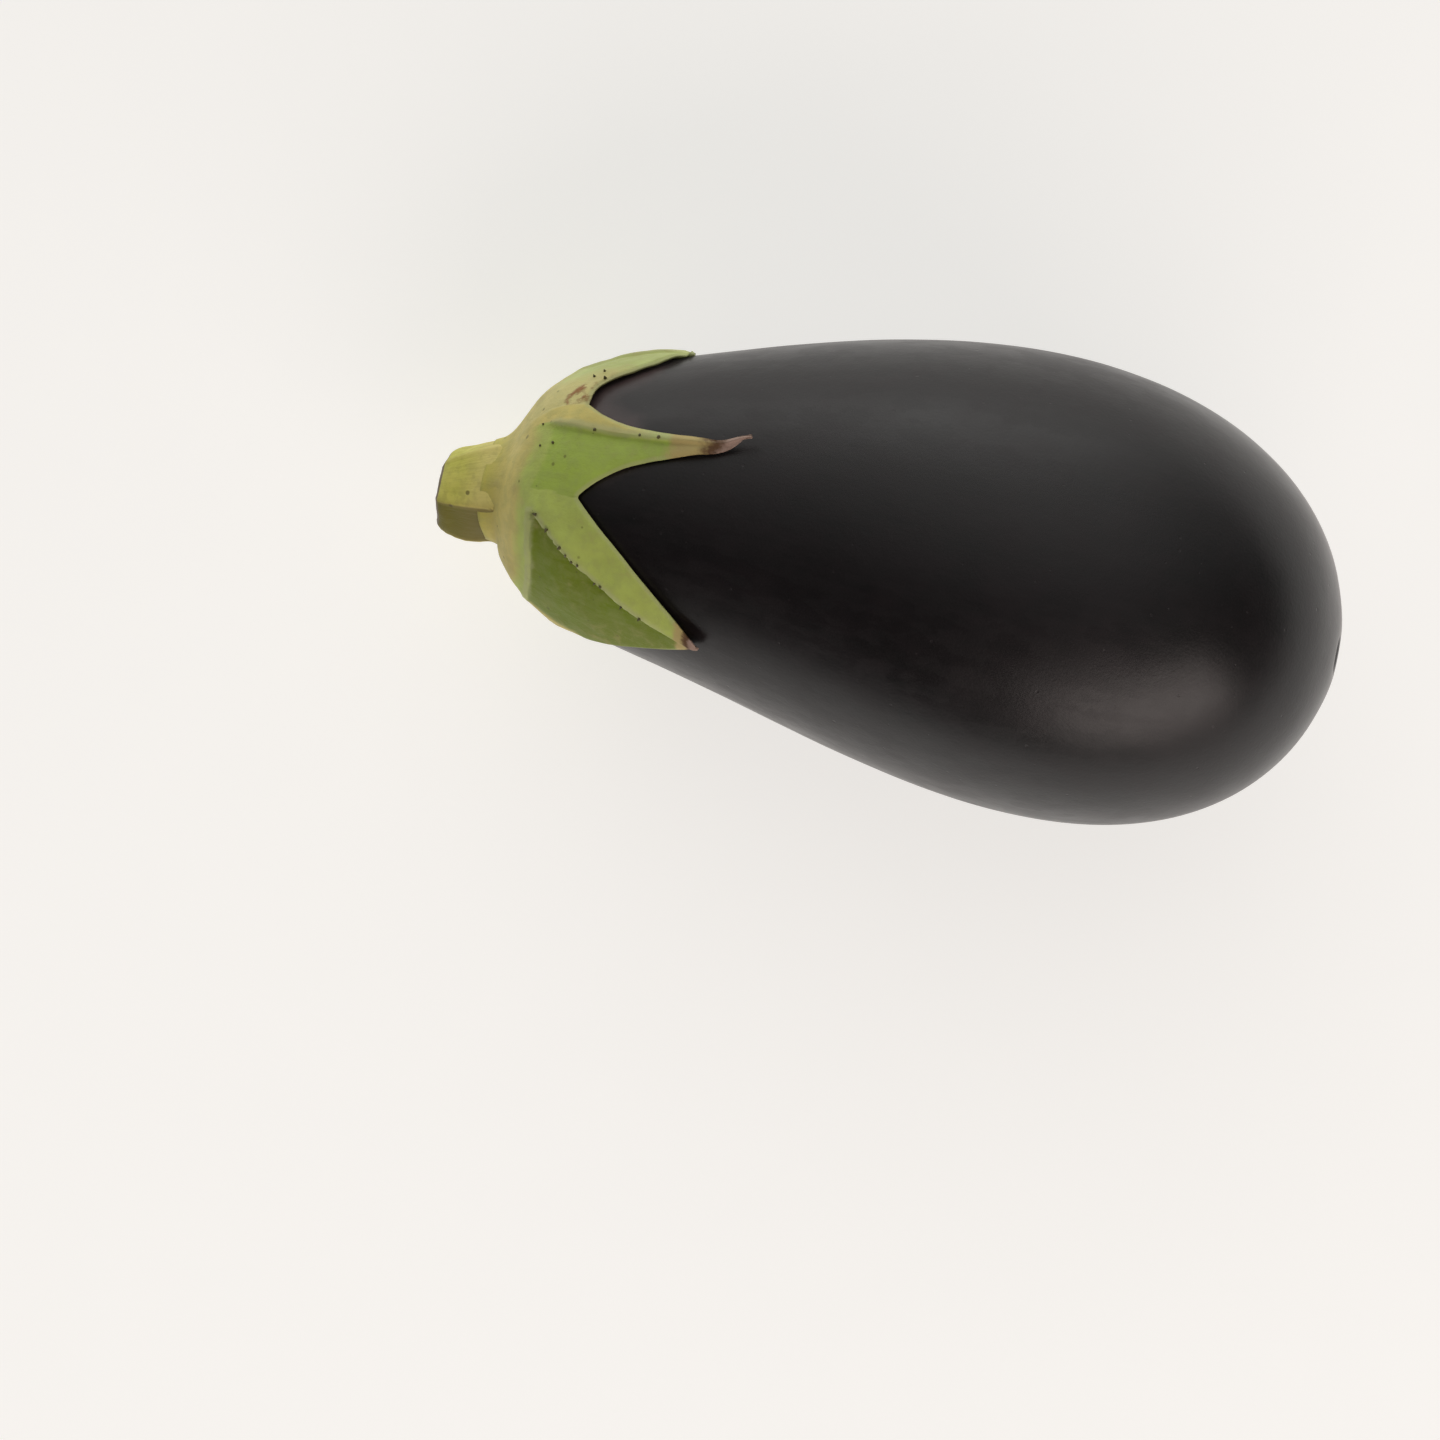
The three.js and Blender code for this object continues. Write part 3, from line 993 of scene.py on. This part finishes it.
def skin_material(patches, fibres, specks):
    """Waxy near-black purple skin, pale purple under the calyx's edge (its own colour and a painted
    reflection), corky at the blossom scar.
    """
    material, tree, shader, place = start_material("eggplant_skin", specular=0.45)
    shader.inputs["Sheen Weight"].default_value = 0.26
    shader.inputs["Sheen Roughness"].default_value = 0.3
    shader.inputs["Sheen Tint"].default_value = (1.0, 0.95, 0.93, 1)
    course = kept(tree, "course", "Vector")
    growth = growth_of(tree, course)
    # Streaks and scuffs give way to an even skin at the blossom end
    streaky = between(tree, growth, 0.72, 0.95, 1.0, 0.0)
    clouds = effect(tree, patches, Place=place, Scale=28.0, Coverage=0.5, Softness=0.16)
    mottle = effect(tree, patches, Place=place, Scale=170.0, Coverage=0.45, Softness=0.12)
    streaks = effect(tree, fibres, Course=course, Length=5.0, Fineness=22.0)
    pores = effect(tree, specks, Place=place, Scale=420.0, Size=0.16, Share=0.5)
    scuffs = effect(tree, fibres, Course=course, Length=16.0, Fineness=9.0, Sharpness=0.9)

    colour = blend(tree, clouds["Mask"], (0.0030, 0.0025, 0.0028), (0.0052, 0.0034, 0.0042))
    streaked = work_out(tree, "MULTIPLY", streaky, 0.2)
    colour = wash(
        tree, colour,
        (streaks["Streaks"], streaked, (0.0120, 0.0066, 0.0090)),
        (mottle["Mask"], 0.3, (0.0090, 0.0046, 0.0060)),
        (pores["Mask"], 0.5, (0.020, 0.015, 0.017)),
    )
    # Near the calyx the skin turns pale purple: its own colour plus a painted reflection on the lit
    # +Y side
    near = work_out(tree, "MULTIPLY_ADD", mottle["Cloud"], 0.5, kept(tree, "near_calyx"))
    mauve_and_reflection = between(tree, near, 0.6, 1.5, 0.0, 0.7)
    colour = blend(tree, mauve_and_reflection, colour, (0.115, 0.078, 0.078))
    scar_edge = work_out(tree, "MULTIPLY_ADD", mottle["Cloud"], 0.4, kept(tree, "scar"))
    scar = between(tree, scar_edge, 0.72, 0.95)
    colour = blend(tree, scar, colour, (0.16, 0.10, 0.055))
    tree.links.new(colour, shader.inputs["Base Color"])

    scuffed = work_out(tree, "MULTIPLY", streaky, 0.04)
    dull = add_up(
        tree, 0.20,
        (clouds["Cloud"], 0.22), (mottle["Cloud"], 0.10),
        (scuffs["Streaks"], scuffed), (scar, 0.35),
    )
    tree.links.new(dull, shader.inputs["Roughness"])

    fine = noise(tree, place, 1900.0, 2.0, 0.5)
    relief = add_up(
        tree, 0.0,
        (fine, 0.25), (mottle["Cloud"], 0.8), (pores["Mask"], -0.35),
        (scar, work_out(tree, "MULTIPLY", fine, 3.0)),
    )
    bump(tree, shader, relief, 0.00007)
    return material


def calyx_material(patches, fibres, specks):
    """Fuzzy green flesh: tan at the collar, dark in the panels (own darker green with painted
    shade), dried and brown at the tips.
    """
    material, tree, shader, place = start_material("calyx_flesh", specular=0.2)
    course = kept(tree, "course", "Vector")
    clouds = effect(tree, patches, Place=place, Scale=110.0, Coverage=0.5, Softness=0.14)
    mottle = effect(tree, patches, Place=place, Scale=420.0, Coverage=0.45, Softness=0.12)
    veins = effect(tree, fibres, Course=course, Length=2.0, Fineness=13.0, Sharpness=0.2)
    flecks = effect(tree, specks, Place=place, Scale=520.0, Size=0.3, Share=0.35)
    cloud, grain = clouds["Cloud"], mottle["Cloud"]

    def ragged(name, low, high, reach=0.5):
        """A kept mask with its edge made irregular."""
        shifted = work_out(tree, "SUBTRACT", work_out(tree, "ADD", cloud, grain), 1.0)
        value = work_out(tree, "MULTIPLY_ADD", shifted, reach, kept(tree, name))
        return between(tree, value, low, high)

    yellow_green, green = (0.520, 0.620, 0.145), (0.430, 0.570, 0.095)
    colour = blend(tree, ragged("panel", 0.2, 0.8), yellow_green, green)
    # Darker green after the keels: partly the panel's own colour, partly painted shade on the side
    # turned from the light
    colour = blend(tree, ragged("dark", 0.35, 0.65, 0.3), colour, (0.165, 0.235, 0.006))
    veined = work_out(tree, "MULTIPLY", kept(tree, "panel"), 0.18)
    colour = wash(tree, colour, (veins["Streaks"], veined, (0.30, 0.36, 0.13)))
    colour = blend(tree, ragged("tan", 0.25, 0.85), colour, (0.690, 0.590, 0.185))
    colour = wash(
        tree, colour,
        (kept(tree, "near_stem"), 0.8, (0.600, 0.560, 0.110)),
        (mottle["Mask"], 0.22, (0.33, 0.37, 0.15)),
        (kept(tree, "pale"), 0.4, (0.66, 0.66, 0.36)),
        (clouds["Mask"], 0.16, (0.24, 0.22, 0.06)),
        (ragged("crest", 0.2, 0.9), 0.55, (0.50, 0.52, 0.27)),
    )
    margin = between(tree, kept(tree, "margin"), 0.45, 0.95, 0.0, 0.55)
    colour = blend(tree, margin, colour, (0.47, 0.50, 0.24))
    colour = wash(tree, colour, (flecks["Mask"], 0.55, (0.11, 0.10, 0.028)))
    colour = blend(tree, ragged("dried", 0.02, 0.2, 0.25), colour, (0.52, 0.42, 0.17))
    colour = blend(tree, ragged("dried", 0.35, 0.55, 0.4), colour, (0.13, 0.070, 0.035))
    colour = blend(tree, ragged("dried", 0.55, 0.75, 0.4), colour, (0.40, 0.28, 0.225))
    crusts = work_out(tree, "MULTIPLY", ragged("corky", 0.45, 0.8, 0.9), mottle["Mask"])
    colour = blend(tree, crusts, colour, (0.34, 0.16, 0.055))
    tree.links.new(colour, shader.inputs["Base Color"])

    dull = add_up(tree, 0.42, (grain, 0.25))
    tree.links.new(dull, shader.inputs["Roughness"])

    fine = noise(tree, place, 2600.0, 3.0, 0.6)
    terms = ((fine, 0.3), (veins["Streaks"], 0.15), (grain, 1.0), (crusts, 0.8))
    relief = add_up(tree, 0.0, *terms)
    bump(tree, shader, relief, 0.00022)
    return material


def stem_material(patches, fibres, specks):
    """Ribbed green bark, olive brown painted shade on its hollow side, which faces away from the
    light, dry and pale at the cut.
    """
    material, tree, shader, place = start_material("stem_bark", specular=0.2)
    course = kept(tree, "course", "Vector")
    clouds = effect(tree, patches, Place=place, Scale=160.0, Coverage=0.5, Softness=0.14)
    mottle = effect(tree, patches, Place=place, Scale=600.0, Coverage=0.4, Softness=0.12)
    grooves = effect(tree, fibres, Course=course, Length=3.0, Fineness=9.0, Sharpness=0.2)
    nicks = effect(tree, specks, Place=place, Scale=330.0, Size=0.26, Share=0.3)

    growth = growth_of(tree, course)
    foot = between(tree, growth, 0.0, 0.3, 0.8, 0.0)
    colour = blend(tree, clouds["Mask"], (0.780, 0.750, 0.180), (0.680, 0.680, 0.130))
    colour = blend(tree, foot, colour, (0.820, 0.720, 0.270))
    colour = wash(tree, colour, (grooves["Streaks"], 0.25, (0.66, 0.56, 0.14)))
    # Painted shade on the hollow side, which faces away from the light
    colour = blend(tree, kept(tree, "hollow"), colour, (0.062, 0.048, 0.002))
    colour = wash(
        tree, colour,
        (kept(tree, "ridge"), 0.3, (0.45, 0.36, 0.11)),
        (mottle["Mask"], 0.2, (0.22, 0.18, 0.06)),
        (nicks["Mask"], 0.7, (0.09, 0.07, 0.03)),
    )
    rings = add_node(
        tree, "ShaderNodeTexWave", {"wave_type": "RINGS", "rings_direction": "X"},
        {"Vector": course, "Scale": 2.0, "Distortion": 3.0},
    )
    face = blend(tree, mottle["Cloud"], (0.30, 0.24, 0.15), (0.13, 0.11, 0.08))
    face = wash(tree, face, (rings.outputs["Fac"], 0.2, (0.36, 0.31, 0.2)))
    colour = blend(tree, between(tree, kept(tree, "cut"), 0.3, 0.7), colour, face)
    tree.links.new(colour, shader.inputs["Base Color"])
    dull = add_up(tree, 0.45, (mottle["Cloud"], 0.25))
    tree.links.new(dull, shader.inputs["Roughness"])

    fine = noise(tree, place, 3000.0, 3.0, 0.6)
    terms = ((fine, 0.3), (grooves["Streaks"], 0.5), (mottle["Cloud"], 0.6), (nicks["Mask"], -0.6))
    relief = add_up(tree, 0.0, *terms)
    bump(tree, shader, relief, 0.00012)
    return material


def prickle_material(patches):
    """Dry prickles, dark olive in places and brown in others."""
    material, tree, shader, place = start_material("prickle_brown", roughness=0.55)
    clouds = effect(tree, patches, Place=place, Scale=300.0, Coverage=0.5, Softness=0.15)
    colour = blend(tree, clouds["Cloud"], (0.035, 0.040, 0.012), (0.150, 0.125, 0.045))
    tree.links.new(colour, shader.inputs["Base Color"])
    bump(tree, shader, noise(tree, place, 2500.0), 0.00005)
    return material


# The stage


def floor_material():
    """Pale paper, lit a little from below so that shadows stay soft."""
    material, tree, shader, place = start_material("pale_paper", roughness=0.8)
    grain = noise(tree, place, 60.0, 4.0, 0.6)
    colour = blend(tree, grain, (0.44, 0.437, 0.427), (0.46, 0.456, 0.444))
    tree.links.new(colour, shader.inputs["Base Color"])
    shader.inputs["Emission Color"].default_value = (1.0, 0.985, 0.955, 1)
    shader.inputs["Emission Strength"].default_value = FLOOR_GLOW
    return material


def make_floor():
    bpy.ops.mesh.primitive_plane_add(size=FLOOR_SIZE)
    floor = bpy.context.active_object
    floor.name = "floor"
    floor.data.materials.append(floor_material())


def softbox(name, place, size, power, colour, target=(0, 0, 0.03)):
    """A rectangular light that faces the target."""
    light = bpy.data.lights.new(name, "AREA")
    light.shape = "RECTANGLE"
    light.size, light.size_y = size
    light.energy = power
    light.color = colour
    lamp = bpy.data.objects.new(name, light)
    lamp.location = place
    lamp.rotation_euler = (Vector(place) - Vector(target)).to_track_quat("Z", "Y").to_euler()
    bpy.context.scene.collection.objects.link(lamp)


def glow_towards(tree, direction, sharpness):
    """Brightness of a soft glow in one direction of the room: 1 in its middle."""
    way = add_node(tree, "ShaderNodeTexCoord").outputs["Generated"]
    facing = add_node(tree, "ShaderNodeVectorMath", {"operation": "DOT_PRODUCT"})
    feed(tree, facing.inputs[0], way)
    feed(tree, facing.inputs[1], Vector(direction).normalized())
    ahead = work_out(tree, "MAXIMUM", facing.outputs["Value"], 0.0)
    return work_out(tree, "POWER", ahead, sharpness)


def light_scene():
    """A room with soft glows and, opposite its window, a broad warm lamp."""
    softbox("warm_lamp", (0.72, -1.14, 0.88), (1.8, 0.95), 15, (1, 0.88, 0.83))
    world = bpy.data.worlds.new("room")
    world.use_nodes = True
    tree = world.node_tree
    room = tree.nodes["Background"]
    glows = [(glow_towards(tree, way, sharpness), strength) for way, sharpness, strength in GLOWS]
    feed(tree, room.inputs["Color"], (1.0, 0.985, 0.96))
    feed(tree, room.inputs["Strength"], add_up(tree, ROOM_GLOW, *glows))
    # What the camera itself sees of the room is a plain pale backdrop
    backdrop = add_node(tree, "ShaderNodeBackground", None, {"Color": (0.83, 0.825, 0.80)})
    chosen = add_node(tree, "ShaderNodeMixShader")
    seen = add_node(tree, "ShaderNodeLightPath").outputs["Is Camera Ray"]
    feed(tree, chosen.inputs[0], seen)
    feed(tree, chosen.inputs[1], room.outputs[0])
    feed(tree, chosen.inputs[2], backdrop.outputs[0])
    feed(tree, tree.nodes["World Output"].inputs["Surface"], chosen.outputs[0])
    bpy.context.scene.world = world


def aim_camera(crown):
    """A camera that looks straight down, turned so that the fruit runs downhill to the right."""
    camera = bpy.data.cameras.new("camera")
    camera.lens = CAMERA_LENS
    camera.sensor_width = 36
    eye = bpy.data.objects.new("camera", camera)
    eye.rotation_euler = (0, 0, CAMERA_ROLL)
    eye.location = (crown.x + CAMERA_PLACE[0], crown.y + CAMERA_PLACE[1], CAMERA_HEIGHT)
    bpy.context.scene.collection.objects.link(eye)
    bpy.context.scene.camera = eye


fruit = make_fruit()
calyx = make_calyx(fruit)
keep_fruit_masks(fruit, calyx)
prickles = add_prickles(calyx)
stem = make_stem()
pieces = [fruit, calyx, prickles, stem]
crown = lay_down(fruit, pieces)
press_flat(fruit)

patches, fibres, specks = make_patches(), make_fibres(), make_specks()
for piece, material, node, slot in (
    (fruit, skin_material(patches, fibres, specks), "fruit", "skin"),
    (calyx, calyx_material(patches, fibres, specks), "calyx", "calyx_green"),
    (prickles, prickle_material(patches), None, "calyx_green"),
    (stem, stem_material(patches, fibres, specks), "stem", "stem_bark"),
):
    use_only(piece)
    bpy.ops.object.shade_smooth()
    piece.data.materials.append(material)
    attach(piece, "root")
    if node:
        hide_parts(node)
make_floor()
light_scene()
aim_camera(crown)
bpy.context.scene.view_settings.view_transform = "Standard"
